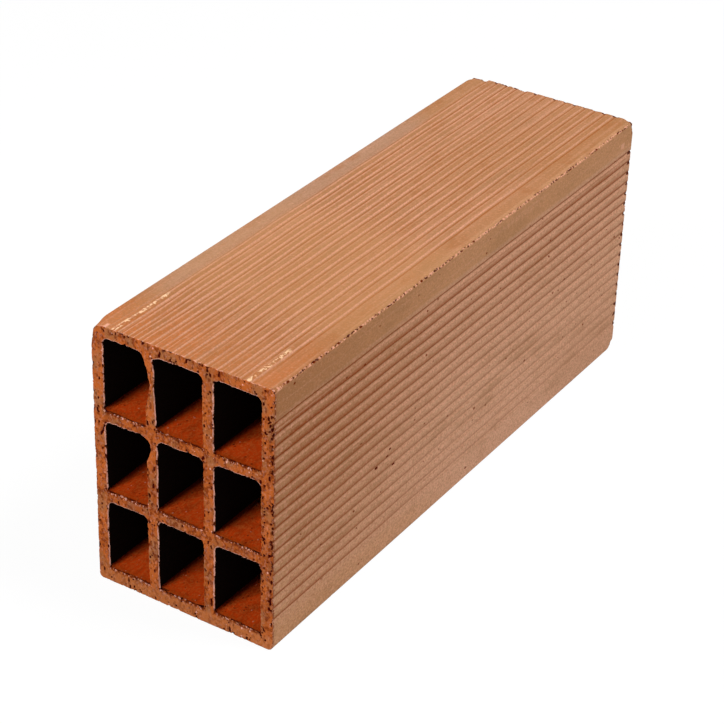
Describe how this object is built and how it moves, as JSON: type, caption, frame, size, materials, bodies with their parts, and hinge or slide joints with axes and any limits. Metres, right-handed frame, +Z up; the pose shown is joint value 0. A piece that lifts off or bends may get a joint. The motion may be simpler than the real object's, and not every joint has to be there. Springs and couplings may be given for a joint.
{
  "type": "hollow clay brick",
  "caption": "Long extruded fired-clay brick with rectangular cells running through its length, combed long faces for mortar and wire-cut ends.",
  "frame": {"origin": "bottom centre of the brick, on the level it lies on", "axes": "+Y along the cells, +X across the brick to the right of the cut end at -Y, +Z up"},
  "size_m": [0.12, 0.4, 0.168],
  "materials": {
    "fired_clay": "matt unglazed fired clay, extruded and combed"
  },
  "bodies": {
    "root": {"brick_body": "fired_clay"}
  },
  "joints": []
}
